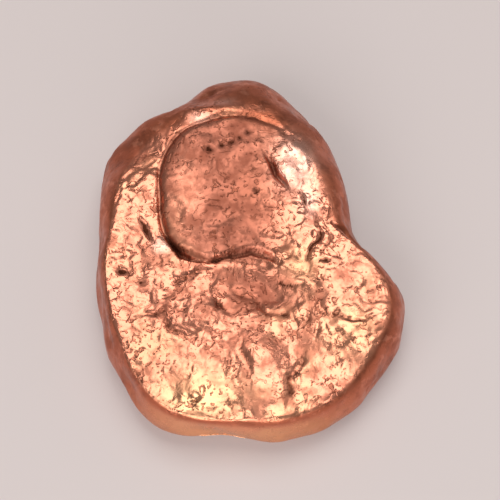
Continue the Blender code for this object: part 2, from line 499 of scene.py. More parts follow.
@dataclass(frozen=True)
class EdgeDent:
    """A hollow worn into the side.

    Attributes:
        degrees: Direction from the middle, seen from above.
        level: Its height as a share of the side's height.
        half_size: Half width in millimetres.
        depth: Depth in millimetres.
    """

    degrees: float
    level: float
    half_size: float
    depth: float


# The outline's corners in shares of the half sizes, anticlockwise from the right.
OUTLINE: tuple[Place, ...] = (
    (0.71, 0.12), (0.66, 0.25), (0.59, 0.49), (0.52, 0.66), (0.41, 0.80),
    (0.27, 0.93), (0.14, 1.01), (0.00, 1.03), (-0.24, 0.98), (-0.42, 0.93),
    (-0.62, 0.83), (-0.78, 0.73), (-0.92, 0.62), (-0.96, 0.48), (-0.98, 0.28),
    (-1.00, 0.04), (-1.00, -0.15), (-0.97, -0.33), (-0.91, -0.53), (-0.81, -0.70),
    (-0.69, -0.84), (-0.53, -0.94), (-0.36, -1.00), (0.00, -1.00), (0.20, -0.99),
    (0.40, -0.96), (0.56, -0.90), (0.69, -0.81), (0.80, -0.69), (0.90, -0.57),
    (0.98, -0.45), (1.00, -0.35), (0.97, -0.24), (0.90, -0.13), (0.80, -0.01),
)

# Directions in degrees, and how wide the face rounds off there, in millimetres.
UPPER_ROUND: tuple[Pair, ...] = (
    (-135, 0.7),
    (-95, 0.6),
    (-55, 1.1),
    (-20, 2.0),
    (20, 2.5),
    (55, 4.0),
    (90, 5.4),
    (130, 3.6),
    (175, 1.3),
)

# Boss, hollows, knuckle, bulges and ledges of the face.
FACE_LUMPS = (
    Lump((-0.585, -0.045), (1.20, 1.00), 0.17),
    Lump((-0.55, -0.05), (2.40, 2.00), -0.22),
    Lump((0.04, -0.24), (3.20, 1.80), -0.60),
    Lump((-0.31, -0.41), (1.30, 1.00), 0.32),
    Lump((0.08, -0.67), (1.90, 2.80), 0.40),
    Lump((0.24, -0.17), (1.40, 1.10), 0.27),
    Lump((0.27, 0.43), (1.60, 2.40), 0.12),
    Lump((-0.30, 0.73), (2.20, 0.50), 0.22),
    Lump((0.22, 0.85), (3.40, 2.40), -0.60),
    Lump((0.61, -0.48), (2.60, 3.20), 0.25),
    Lump((-0.60, -0.50), (2.60, 2.80), 0.22),
    Lump((-0.31, -0.89), (2.40, 2.00), 0.12),
    Lump((-0.36, -0.86), (0.42, 0.22), -0.25),
    Lump((-0.78, 0.53), (2.80, 2.40), -0.70),
)

# The crevice in two runs along the plate's front, the slit in the plate and the notch in the rim.
CREVICES = (
    Crease(
        ((-0.53, 0.03), (-0.485, -0.035), (-0.45, -0.075), (-0.39, -0.11), (-0.33, -0.125)),
        0.18,
        0.70,
        0.12,
    ),
    Crease(
        ((-0.27, -0.12), (-0.15, -0.09), (0.00, -0.065), (0.11, -0.09), (0.19, -0.135)),
        0.18,
        0.62,
        0.13,
    ),
    Crease(((0.09, 0.47), (0.15, 0.37), (0.23, 0.28)), 0.18, 0.60, 0.12),
    Crease(((0.53, 0.10), (0.62, 0.05), (0.74, -0.03)), 0.26, 0.55, 0.20),
)

# Fine cracks at the right of the plate and round the hollow.
CRACKS = (
    Crease(((0.23, 0.28), (0.34, 0.20), (0.40, 0.12)), 0.13, 0.12, 0.40),
    Crease(((-0.72, 0.11), (-0.66, 0.04), (-0.61, -0.02)), 0.16, 0.20, 0.25),
    Crease(((0.42, 0.14), (0.42, 0.02), (0.35, -0.09), (0.35, -0.18)), 0.17, 0.14, 0.50),
    Crease(((0.47, 0.08), (0.51, 0.00), (0.46, -0.12)), 0.13, 0.10, 0.50),
    Crease(((0.14, -0.23), (0.25, -0.245), (0.32, -0.23)), 0.15, 0.14, 0.40),
    Crease(((0.33, -0.36), (0.38, -0.43), (0.30, -0.52)), 0.13, 0.10, 0.60),
)

# Shallow winding folds of the lower face.
FOLDS = (
    Crease(((-0.52, -0.31), (-0.45, -0.24), (-0.33, -0.18), (-0.22, -0.15)), 0.26, 0.12, 0.50),
    Crease(
        ((-0.52, -0.30), (-0.53, -0.41), (-0.50, -0.50), (-0.38, -0.53), (-0.29, -0.49)),
        0.24,
        0.13,
        0.50,
    ),
    Crease(((-0.69, -0.41), (-0.64, -0.38), (-0.57, -0.40), (-0.54, -0.46)), 0.18, 0.09, 0.50),
    Crease(((-0.24, -0.29), (-0.17, -0.38), (-0.13, -0.43)), 0.24, 0.11, 0.50),
    Crease(((-0.10, -0.24), (0.00, -0.33), (0.11, -0.38), (0.23, -0.43), (0.32, -0.50)), 0.30, 0.12, 0.60),
    Crease(((0.32, -0.62), (0.27, -0.71), (0.24, -0.82), (0.23, -0.91)), 0.32, 0.12, 0.30),
    Crease(((-0.08, -0.53), (-0.03, -0.64), (-0.01, -0.74)), 0.26, 0.09, 0.40),
    Crease(((0.35, -0.38), (0.46, -0.35), (0.54, -0.43), (0.67, -0.46), (0.79, -0.41)), 0.17, 0.09, 0.60),
)

# A row of pits near the back of the plate, and single ones elsewhere.
PITS = (
    Lump((-0.27, 0.48), (0.30, 0.20), 0.18),
    Lump((-0.19, 0.51), (0.20, 0.18), 0.15),
    Lump((-0.13, 0.525), (0.19, 0.16), 0.15),
    Lump((-0.08, 0.55), (0.18, 0.20), 0.14),
    Lump((-0.02, 0.59), (0.20, 0.17), 0.15),
    Lump((0.31, 0.55), (0.20, 0.15), 0.12),
    Lump((0.21, 0.58), (0.18, 0.14), 0.10),
    Lump((0.03, 0.25), (0.18, 0.22), 0.12),
    Lump((-0.82, -0.17), (0.30, 0.18), 0.14),
    Lump((-0.70, -0.23), (0.34, 0.18), 0.12),
    Lump((0.36, -0.31), (0.20, 0.18), 0.12),
    Lump((0.47, -0.12), (0.34, 0.16), 0.12),
)

# Places that are rubbed bare, partly painted highlights: the boss and the facets right of the plate are
# made lighter where they catch the light.
BARE_AND_HIGHLIGHT_SPOTS = (
    Lump((-0.57, -0.035), (0.60, 0.55), 1.3),
    Lump((0.28, 0.42), (1.30, 1.90), 1.3),
    Lump((0.37, 0.20), (0.70, 1.20), 0.8),
    Lump((-0.34, 0.68), (0.80, 0.50), 0.8),
    Lump((-0.18, 0.78), (0.90, 0.45), 0.6),
)

# Places with a thin yellow film, partly painted highlights: the lower left corner, the knuckle and the
# plate's left edge are made lighter and yellower where they catch the light.
GOLDEN_AND_HIGHLIGHT_SPOTS = (
    Lump((-0.34, -0.86), (3.20, 2.20), 1.1),
    Lump((0.31, -0.16), (1.50, 1.50), 0.9),
    Lump((0.60, -0.52), (2.40, 2.60), 0.5),
    Lump((-0.50, 0.05), (0.60, 2.60), 0.4),
)

# Places of the face where the skin is smooth.
SMOOTH_SPOTS = (
    Lump((-0.58, -0.04), (0.80, 0.70), 0.9),
    Lump((0.28, 0.43), (1.20, 2.00), 0.6),
    Lump((0.08, -0.67), (1.50, 2.60), 0.8),
    Lump((-0.42, 0.28), (1.20, 3.20), 0.7),
    Lump((0.14, 0.70), (3.00, 1.00), 0.9),
)

# Less rubbed places: the hollow, the left shoulder and the lower left of the face.
DULL_SPOTS = (
    Lump((0.04, -0.25), (3.10, 1.60), 0.85),
    Lump((-0.86, 0.60), (3.20, 3.00), 0.80),
    Lump((-0.60, -0.58), (3.00, 3.40), 0.28),
)

# Brown places: the hollow, about the boss, and the plate's middle.
BROWN_SPOTS = (
    Lump((0.04, -0.25), (3.10, 1.60), 0.5),
    Lump((-0.60, -0.06), (1.70, 1.30), 0.9),
    Lump((0.00, 0.22), (2.00, 3.20), 0.8),
)

# Single patches that have a part of their own in the skin, the wear or the painted light.
ROUGH_SHOULDER = Lump((-0.32, 0.74), (2.60, 1.20))
# Painted reflection of the lit floor: the front side is made lighter and more golden, without the rim's
# darker film and painted shade.
FRONT_FLOOR_REFLECTION = Lump((-0.20, -1.05), (10.0, 5.0))
# Painted highlight: the plate's left side, where it faces the light, is made less dull and lighter.
PLATE_LEFT_HIGHLIGHT = Lump((-0.42, 0.22), (1.30, 3.40), 0.8)
STREAKED_RIGHT = Lump((0.58, -0.45), (4.20, 5.20))

# Where the rim's darker film reaches over the back of the plate, which is painted shade along the back as
# well.
BACK_FILM_AND_SHADE = (
    Lump((0.03, 0.70), (1.50, 0.75), 1.0),
    Lump((0.18, 0.67), (1.40, 0.80), 1.0),
    Lump((0.32, 0.60), (0.90, 0.80), 0.9),
)

# Hollows of the belly.
BELLY_LUMPS = (
    Lump((-0.45, 0.52), (2.30, 1.80), -0.55),
    Lump((0.42, -0.62), (2.60, 1.90), -0.50),
    Lump((-0.55, -0.50), (1.50, 2.30), -0.45),
    Lump((0.45, 0.30), (1.40, 1.90), -0.40),
)

# Folds of the belly.
BELLY_FOLDS = (
    Crease(((-0.80, 0.10), (-0.45, 0.22), (-0.10, 0.55), (0.20, 0.72)), 0.70, 0.58),
    Crease(((0.85, -0.30), (0.55, -0.28), (0.30, -0.50)), 0.65, 0.48),
)

# Hollows worn into the side.
EDGE_DENTS = (
    EdgeDent(-100, 0.25, 1.9, 0.25),
    EdgeDent(-38, 0.20, 2.6, 0.25),
    EdgeDent(3, 0.40, 1.6, 0.15),
    EdgeDent(62, 0.35, 2.6, 0.30),
    EdgeDent(118, 0.55, 1.8, 0.35),
    EdgeDent(152, 0.40, 1.9, 0.25),
    EdgeDent(-162, 0.35, 2.3, 0.30),
    EdgeDent(-130, 0.60, 1.5, 0.30),
)


@dataclass(frozen=True)
class Unevenness:
    """Gentle unevenness: plane waves of about one length that cross in every direction.

    Attributes:
        wavelength: Their middle length in millimetres.
        count: Their number.
        height: Their height together, in millimetres.
        seed: Chooses their directions.
        shortest: Shortest wave, as a share of the middle length.
        longest: Longest wave, as a share of the middle length.
    """

    wavelength: float
    count: int
    height: float
    seed: Seed
    shortest: float = 0.75
    longest: float = 1.3

    def heights(self, points: Floats) -> Floats:
        """Sines of each point's distance along each wave, added up.

        Args:
            points: Places, one row each, in millimetres.

        Returns:
            Heights in millimetres.
        """
        rng = np.random.default_rng(self.seed)
        directions = rng.normal(size=(self.count, 3))
        directions /= np.linalg.norm(directions, axis=1, keepdims=True)
        lengths = self.wavelength * rng.uniform(self.shortest, self.longest, self.count)
        phases = rng.uniform(0, 2 * math.pi, self.count)
        waves = np.sin(points @ (directions * (2 * math.pi / lengths)[:, None]).T + phases)
        return self.height * waves.sum(axis=1) / math.sqrt(self.count / 2)


# Broad and short unevenness of the whole nugget.
UNEVENNESS = (
    Unevenness(7.5, 14, 0.12, Seed.BROAD_WAVES),
    Unevenness(3.4, 24, 0.05, Seed.SHORT_WAVES),
)


@dataclass(frozen=True)
class NuggetForm:
    """The worn lump itself, down to its creases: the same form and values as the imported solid.

    Attributes:
        width: Size across the outline in millimetres.
        length: Size along the outline in millimetres.
        front_height: Level of the upper face at the broad end.
        back_height: Level of the upper face at the narrow end.
        waves: Number of waves in the outline's Fourier series.
        waist: The widest level, as a share of the height.
        round_waves: Number of waves in the series of the upper edge's rounding.
        lower_round: Least width over which the side rounds off into the belly.
        lower_growth: How much that grows towards its rounder side.
        lower_rounder_side: Direction of that side, in radians.
        belly_depth: How far the belly's middle would reach below the ground, where it is worn flat.
        belly_rise: How far the belly rises from its middle to its edge.
        plate: The plate folded over the narrow end.
    """

    width: float = 22.4
    length: float = 28.0
    front_height: float = 3.9
    back_height: float = 7.2
    waves: int = 8
    waist: float = 0.36
    round_waves: int = 3
    lower_round: float = 1.7
    lower_growth: float = 2.9
    lower_rounder_side: float = math.radians(60)
    belly_depth: float = 0.25
    belly_rise: float = 1.0
    plate: Plate = Plate()

    @property
    def half(self) -> Floats:
        """Half the width and half the length."""
        return np.array([self.width, self.length]) / 2

    def outline_radius(self, angle: Floats) -> Floats:
        """Distance of the outline from the middle, as a series fitted to OUTLINE.

        Args:
            angle: Directions seen from above, in radians.

        Returns:
            Distances in millimetres.
        """
        points = np.array(OUTLINE) * self.half
        directions = np.arctan2(points[:, 1], points[:, 0])
        return series(angle, directions, np.hypot(*points.T), self.waves)

    def upper_rounding(self, angle: Floats) -> Floats:
        """Width over which the face rounds off in each direction, as a series fitted to UPPER_ROUND."""
        degrees, widths = np.array(UPPER_ROUND).T
        return series(angle, np.radians(degrees), widths, self.round_waves)

    def lower_rounding(self, angle: Floats) -> Floats:
        """Width over which the side rounds off below: it grows as the squared cosine of half the angle."""
        return self.lower_round + self.lower_growth * np.cos((angle - self.lower_rounder_side) / 2) ** 2

    def face_height(self, y: Floats) -> Floats:
        """Level of the upper face, which slopes up from the front to the back."""
        middle = (self.front_height + self.back_height) / 2
        return middle + (self.back_height - self.front_height) * y / self.length

    def smooth_form(self, way_down: Floats, angle: Floats) -> tuple[Floats, Floats]:
        """The pebble without its relief.

        Each section from the middle outwards is a straight run that ends in a quarter ellipse, at even
        steps along its length. The lower half is the same, turned over, with a belly that rises
        towards its edge as the square of the distance.

        Args:
            way_down: 0 at the top, 1 at the waist, 2 at the bottom.
            angle: Direction seen from above.

        Returns:
            The points, and each point's share of face: 1 on it, 0 at the waist, -1 on the belly.
        """
        above = way_down <= 1
        radius = self.outline_radius(angle)
        rounding = np.where(above, self.upper_rounding(angle), self.lower_rounding(angle))
        rim_height = self.face_height(radius * np.sin(angle))
        half_height = rim_height * np.where(above, 1 - self.waist, self.waist)
        flat = radius - rounding
        arc = math.pi / 2 * np.sqrt((rounding**2 + half_height**2) / 2)
        turn_at = flat / (flat + arc)
        outward = np.where(above, way_down, 2 - way_down)
        turned = np.clip((outward - turn_at) / (1 - turn_at), 0, 1) * math.pi / 2
        out = np.where(outward < turn_at, flat * outward / turn_at, flat + rounding * np.sin(turned))
        left = np.cos(turned)
        x, y = out * np.cos(angle), out * np.sin(angle)
        top = self.face_height(y)
        waist = self.waist * top
        belly = self.belly_rise * (out / radius) ** 2 - self.belly_depth
        z = waist + left * (np.where(above, top, belly) - waist)
        return np.column_stack([x, y, z]), np.where(above, left, -left)

    def dented(self, points: Floats) -> Floats:
        """Hollows pressed into the side, each a Gaussian about a point on the outline.

        Args:
            points: Places, one row each, in millimetres.

        Returns:
            Heights in millimetres, below 0 in the hollows.
        """
        pushed = np.zeros(len(points))
        for dent in EDGE_DENTS:
            angle = math.radians(dent.degrees)
            radius = self.outline_radius(np.array([angle]))[0]
            x, y = radius * math.cos(angle), radius * math.sin(angle)
            centre = np.array([x, y, dent.level * self.face_height(y)])
            pushed -= dent.depth * np.exp(-((points - centre) ** 2).sum(axis=1) / dent.half_size**2)
        return pushed

    def relief(self, points: Floats, share: Floats) -> Floats:
        """Heights of the main relief along the normal: plate, lumps, crevices, folds and dents.

        Args:
            points: Places on the smooth form, in millimetres.
            share: Share of face of each point.

        Returns:
            Heights in millimetres.
        """
        plan, half = points[:, :2], self.half
        face = self.plate.height(plan, half) + amounts(FACE_LUMPS, plan, half)
        face = face - amounts(CREVICES, plan, half)
        belly = amounts(BELLY_LUMPS, plan, half) - amounts(BELLY_FOLDS, plan, half)
        uneven = sum(waves.heights(points) for waves in UNEVENNESS)
        return face * faded(share) + belly * faded(-share) + uneven + self.dented(points)


@dataclass(frozen=True)
class Skin:
    """The small relief that tumbling and weathering left: dimples, knobs, pits, streaks and cracks.

    Lengths are in millimetres. Bands are shares of face, and choices are numbers of scattered
    centres, over which a kind of relief comes in.

    Attributes:
        warp: How far the pattern is bent out of its lattice.
        warp_size: Size of the bends.
        warp_shift: Distance between the noises that bend it.
        hammer_size: Size of the soft facets that knocks have left.
        hammer_height: Their height.
        hammer_smooth: How much of them is left where the skin is smooth.
        dimple_size: Spacing of the dimples.
        dimple_width: Half width of a dimple, as a share of the spacing.
        dimple_depth: Depth of the deepest dimples.
        dimple_choice: Choice of the dimples.
        knob_size: Spacing of the rounded knobs.
        knob_height: Height of the knobs above the valleys between them.
        valley_width: Width of the valleys, as a share of the spacing.
        grain_size: Size of the finest grain.
        grain_height: Its height.
        streak_size: Distance between the fine ridges at the right of the face.
        streak_length: How many times longer than wide they are.
        streak_height: Their height.
        streak_direction: Their direction seen from above, in radians.
        face_band: Band at the edge of the face.
        belly_band: Band at the edge of the belly.
        belly_share: Roughness of the belly.
        rim_share: How much of all this is left on the rubbed rim.
        side_top: Band over which the side's wear starts below the face.
        side_foot: Band over which it ends above the widest level.
        knock_size: Size of the knocks in the side.
        knock_depth: Their depth.
        knock_bias: Added to their noise, so that more of the side is knocked.
        side_pit_spacing: Spacing of the pits in the side.
        side_pit_size: Their half width.
        side_pit_depth: Their depth.
        side_pit_choice: Choice of the pits.
        side_pit_dark: How deep they count as for the oxide.
        deepest: Depth that counts as 1 for the oxide, in depths of dimples and valleys together.
    """

    warp: float = 0.42
    warp_size: float = 0.8
    warp_shift: float = 17.3
    hammer_size: float = 1.5
    hammer_height: float = 0.070
    hammer_smooth: float = 0.6
    dimple_size: float = 0.95
    dimple_width: float = 0.36
    dimple_depth: float = 0.075
    dimple_choice: Pair = (0.25, 0.9)
    knob_size: float = 0.75
    knob_height: float = 0.048
    valley_width: float = 0.42
    grain_size: float = 0.28
    grain_height: float = 0.016
    streak_size: float = 0.42
    streak_length: float = 6.0
    streak_height: float = 0.045
    streak_direction: float = math.radians(48)
    face_band: Pair = (0.94, 0.999)
    belly_band: Pair = (0.3, 0.95)
    belly_share: float = 0.5
    rim_share: float = 0.18
    side_top: Pair = (0.98, 0.60)
    side_foot: Pair = (0.05, 0.35)
    knock_size: float = 1.7
    knock_depth: float = 0.16
    knock_bias: float = 0.3
    side_pit_spacing: float = 1.5
    side_pit_size: float = 0.26
    side_pit_depth: float = 0.12
    side_pit_choice: Pair = (0.45, 0.75)
    side_pit_dark: float = 0.8
    deepest: float = 1.6

    def roughened(self, plan: Floats, share: Floats, half: Floats) -> Floats:
        """Where the skin is rough: on the face but for its smooth spots, less on the rim and belly.

        Args:
            plan: Places seen from above, in millimetres.
            share: Share of face of each point.
            half: The nugget's half sizes.

        Returns:
            Numbers from 0 to 1.
        """
        smooth = np.clip(amounts(SMOOTH_SPOTS, plan, half), 0, 1)
        on_face = smooth_step(*self.face_band, share) * (1 - smooth)
        below = self.belly_share * smooth_step(*self.belly_band, -share)
        shoulder = ROUGH_SHOULDER.share(plan, half) * (share > 0)
        rough = np.maximum(np.maximum(on_face, below), shoulder)
        return self.rim_share + (1 - self.rim_share) * rough

    def streaked(self, plan: Floats) -> Floats:
        """Fine ridges in one direction: noise stretched along it.

        Args:
            plan: Places seen from above, in millimetres.

        Returns:
            Numbers from -1 to 1.
        """
        cosine, sine = math.cos(self.streak_direction), math.sin(self.streak_direction)
        along = plan @ np.array([cosine, sine])
        across = plan @ np.array([-sine, cosine])
        stretched = np.column_stack([across, along / self.streak_length, np.zeros(len(plan))])
        return soft_noise(stretched, self.streak_size, Seed.STREAKS)

    def side_wear(self, points: Floats, share: Floats) -> tuple[Floats, Floats]:
        """Wear of the side down to its widest level: knocks, as the square of a soft noise, and pits.

        Args:
            points: Places on the main form, in millimetres.
            share: Share of face of each point.

        Returns:
            Depths in millimetres, and how deep each point lies in a pit, from 0 to 1.
        """
        beside = smooth_step(*self.side_top, share) * smooth_step(*self.side_foot, share)
        nearest, _, number = scattered(points, self.side_pit_spacing, Seed.SIDE_PITS)
        pits = np.exp(-((nearest * self.side_pit_spacing / self.side_pit_size) ** 2))
        pits = pits * smooth_step(*self.side_pit_choice, number) * beside
        knocks = soft_noise(points, self.knock_size, Seed.KNOCKS) + self.knock_bias
        knocks = np.clip(knocks, 0, 1) ** 2 * beside
        return self.knock_depth * knocks + self.side_pit_depth * pits, pits

    def relief(self, points: Floats, share: Floats, rough: Floats, half: Floats) -> tuple[Floats, Floats]:
        """The small relief along the normal.

        Args:
            points: Places on the main form, in millimetres.
            share: Share of face of each point.
            rough: How rough the skin is at each point.
            half: The nugget's half sizes.

        Returns:
            Heights in millimetres, and how deep each point lies in a pit or valley, from 0 to 1.
        """
        shifts = [
            soft_noise(points + self.warp_shift * k, self.warp_size, Seed.WARP + k) for k in range(3)
        ]
        bent = points + self.warp * np.column_stack(shifts)
        nearest, _, number = scattered(bent, self.dimple_size, Seed.DIMPLES)
        dimple = np.exp(-((nearest / self.dimple_width) ** 2)) * smooth_step(*self.dimple_choice, number)
        first, second, _ = scattered(bent, self.knob_size, Seed.KNOBS)
        valley = 1 - smooth_step(0.0, self.valley_width, second - first)
        plan = points[:, :2]
        streaks = STREAKED_RIGHT.share(plan, half) * self.streaked(plan)
        height = self.grain_height * soft_noise(points, self.grain_size, Seed.GRAIN)
        height = height + self.streak_height * streaks
        height = height - self.dimple_depth * dimple - self.knob_height * valley
        side_depth, side_pits = self.side_wear(bent, share)
        height = height * rough - side_depth
        cracks = (amounts(CRACKS + FOLDS, plan, half) + amounts(PITS, plan, half)) * faded(share)
        deepest = self.deepest * (self.dimple_depth + self.knob_height)
        deep = (cracks - height - side_depth) / deepest + self.side_pit_dark * side_pits
        hammered = self.hammer_height * soft_noise(bent, self.hammer_size, Seed.FACETS)
        hammered = hammered * (self.hammer_smooth + (1 - self.hammer_smooth) * rough)
        return height - cracks + hammered, np.clip(deep, 0, 1)


@dataclass(frozen=True)
class Wear:
    """How oxide, films, rubbing and painted light and shade lie on the nugget. Bands are shares of face.

    Attributes:
        crevice_oxide: Strength of the oxide in the crevices.
        groove_oxide: Its strength in the groove along the plate's high edge.
        crack_oxide: Its strength in the cracks.
        pit_oxide: Its strength in the pits.
        groove_centre: Distance of the groove's oxide from the edge, in millimetres.
        groove_width: Its half width in millimetres.
        low_edge: Height of the edge, as a share of its step, from which the groove holds oxide.
        plate_dull: Dullness of the plate.
        plate_edge: Distances inside the edge over which it comes in, in millimetres.
        plate_right: Shares of the half width over which it ends at the right.
        face_band: Band over which the face's own wear starts.
        rim_band: Band over which the rim's darker film starts, which is partly painted shade.
        front_reflection_band: Band over which that film and its painted shade give way to the painted
            reflection of the lit floor at the front.
    """

    crevice_oxide: float = 0.76
    groove_oxide: float = 0.75
    crack_oxide: float = 0.45
    pit_oxide: float = 0.60
    groove_centre: float = 0.14
    groove_width: float = 0.22
    low_edge: float = 0.4
    plate_dull: float = 1.1
    plate_edge: Pair = (-0.4, 0.6)
    plate_right: Pair = (0.30, -0.10)
    face_band: Pair = (0.2, 0.9)
    rim_band: Pair = (0.999, 0.93)
    front_reflection_band: Pair = (0.90, 0.65)

    def maps(self, form: NuggetForm, plan: Floats, share: Floats) -> dict[WearMap, Floats]:
        """Where the dark oxide stays, where the metal is rubbed clean, golden, dull or brown, and where
        painted highlights, reflection and shade lie.

        Args:
            form: The main form.
            plan: Places of the points seen from above, before the relief.
            share: Share of face of each point.

        Returns:
            One map of numbers from 0 to 1 for each kind of wear.
        """
        half, plate = form.half, form.plate
        outside = plate.outside(plan, half)
        high_edge = np.clip(plate.edge_height(plan, half) / plate.step - self.low_edge, 0, 1)
        groove = high_edge * np.exp(-(((outside - self.groove_centre) / self.groove_width) ** 2))
        on_face = smooth_step(*self.face_band, share)
        oxide = self.crevice_oxide * shares(CREVICES, plan, half) + self.groove_oxide * groove
        oxide = oxide + self.crack_oxide * shares(CRACKS, plan, half)
        oxide = oxide + self.pit_oxide * shares(PITS, plan, half)
        front = FRONT_FLOOR_REFLECTION.share(plan, half)
        on_plate = smooth_step(*self.plate_edge, -outside)
        on_plate = on_plate * smooth_step(*self.plate_right, plan[:, 0] / half[0])
        # The plate's left side is made less dull: a painted highlight where it faces the light.
        plate_dull = (self.plate_dull - amounts((PLATE_LEFT_HIGHLIGHT,), plan, half)) * on_plate
        # Painted reflection of the lit floor at the front: it takes away the rim's darker film there and
        # adds golden colour to the front side.
        rubbed = front * smooth_step(*self.front_reflection_band, share)
        # The rim's darker film is partly painted shade where the rim and the side turn away from the
        # light.
        rim = smooth_step(*self.rim_band, np.abs(share)) * (1 - rubbed)
        brown = shares(FOLDS, plan, half) + amounts(BROWN_SPOTS, plan, half)
        wear = {
            WearMap.OXIDE: oxide * on_face,
            # Rubbed bare metal, and painted highlight on bright spots.
            WearMap.BARE_AND_HIGHLIGHT: amounts(BARE_AND_HIGHLIGHT_SPOTS, plan, half) * on_face,
            # Golden film and painted highlight on the face, and painted reflection of the lit floor on the
            # front side.
            WearMap.GOLD_AND_HIGHLIGHT: amounts(GOLDEN_AND_HIGHLIGHT_SPOTS, plan, half) * on_face + front * (1 - on_face),
            WearMap.DULL: plate_dull + amounts(DULL_SPOTS, plan, half),
            WearMap.BROWN: brown * on_face,
            # Darker film on the rim and the side, partly painted shade.
            WearMap.RIM_FILM_AND_SHADE: np.maximum(rim, amounts(BACK_FILM_AND_SHADE, plan, half)),
        }
        return {wear_map: np.clip(values, 0, 1) for wear_map, values in wear.items()}


@dataclass
class NuggetPiece:
    """The nugget's visible surface and the maps of wear and painted light on it.

    Attributes:
        form: The main form.
        skin: The small relief.
        wear: The wear.
        cells: Grid cells along each side of the upper and of the lower half.
        lean_band: Shares of face over which the plate's edge starts to lean.
    """

    form: NuggetForm
    skin: Skin
    wear: Wear
    cells: int = 218
    lean_band: Pair = (0.5, 0.95)

    def surface(self) -> tuple[Floats, Quads, dict[WearMap, Floats]]:
        """The finished surface.

        The pebble's points move out along its normals by the main relief, the plate's edge leans out,
        and the result moves along its own normals by the small relief. What would lie below the ground
        is pressed up to it, which is the worn flat.

        Returns:
            The points in millimetres, the cells' point numbers and the wear maps.
        """
        grid = SewnDiscs(self.cells)
        quads = grid.quads()
        points, share = self.form.smooth_form(*grid.parameters())
        plan, half = points[:, :2].copy(), self.form.half
        main = self.form.relief(points, share)
        points = points + point_normals(points, quads) * main[:, None]
        leaning = smooth_step(*self.lean_band, share)
        points[:, :2] += self.form.plate.lean_out(plan, half) * leaning[:, None]
        rough = self.skin.roughened(plan, share, half)
        fine, deep = self.skin.relief(points, share, rough, half)
        points = points + point_normals(points, quads) * fine[:, None]
        points[:, 2] = np.maximum(points[:, 2], 0)
        maps = self.wear.maps(self.form, plan, share)
        maps.update({WearMap.FINE: deep, WearMap.ROUGH: rough})
        return points, quads, maps

    def build(self) -> bpy.types.Object:
        """Fills the mesh in metres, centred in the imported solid's box and kept inside it.

        Returns:
            The nugget's object.
        """
        points, quads, maps = self.surface()
        low, high = (np.array(corner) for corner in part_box(NODE))
        middle = (points.min(axis=0) + points.max(axis=0)) / 2 * MM
        shift = (low + high) / 2 - middle
        shift[2] = low[2]
        places = np.clip(points * MM + shift, low, high)
        mesh = bpy.data.meshes.new("nugget_surface")
        mesh.vertices.add(len(places))
        mesh.vertices.foreach_set("co", places.astype(np.float32).ravel())
        mesh.loops.add(quads.size)
        mesh.loops.foreach_set("vertex_index", quads.ravel())
        mesh.polygons.add(len(quads))
        mesh.polygons.foreach_set("loop_start", np.arange(0, quads.size, 4, dtype=np.int32))
        mesh.update(calc_edges=True)
        mesh.validate()
        mesh.shade_smooth()
        for wear_map, values in maps.items():
            stored = mesh.attributes.new(wear_map.value, "FLOAT", "POINT")
            stored.data.foreach_set("value", values.astype(np.float32))
        piece = bpy.data.objects.new("nugget_surface", mesh)
        bpy.context.scene.collection.objects.link(piece)
        LOG.info("%s: %d points, %d cells", piece.name, len(places), len(quads))
        return piece


@dataclass(frozen=True)
class Mottle:
    """A patchy mask: fractal noise, and the smooth ramp that turns it into the mask.

    Attributes:
        size: Size of the noise's features in millimetres.
        detail: How many finer layers the noise has.
        roughness: Strength of the finer layers.
        start: Noise at which the ramp starts.
        stop: Noise at which it ends.
        least: Value of the mask before the ramp.
        most: Value of the mask after it.
    """

    size: float
    detail: float
    roughness: float
    start: float
    stop: float
    least: float = 0.0
    most: float = 1.0


@dataclass(frozen=True)
class Strokes:
    """Short winding strokes. They lie where a noise crosses its middle value, and a second breaks them up.

    Attributes:
        size: Spacing of the strokes, in millimetres.
        detail: How many finer layers the noise has.
        width: Distance of the noise from its middle value at which a stroke ends.
        core: Share of that distance over which the stroke is full.
        gap_size: Spacing of the gaps, in spacings of the strokes.
        gap_ramp: Values of the second noise between which a stroke comes in.
        gap_shift: How far from the first noise the second is read.
    """

    size: float = 0.80
    detail: float = 1.5
    width: float = 0.05
    core: float = 0.3
    gap_size: float = 1.1
    gap_ramp: Pair = (0.49, 0.58)
    gap_shift: Triple = (37.0, 11.0, 23.0)


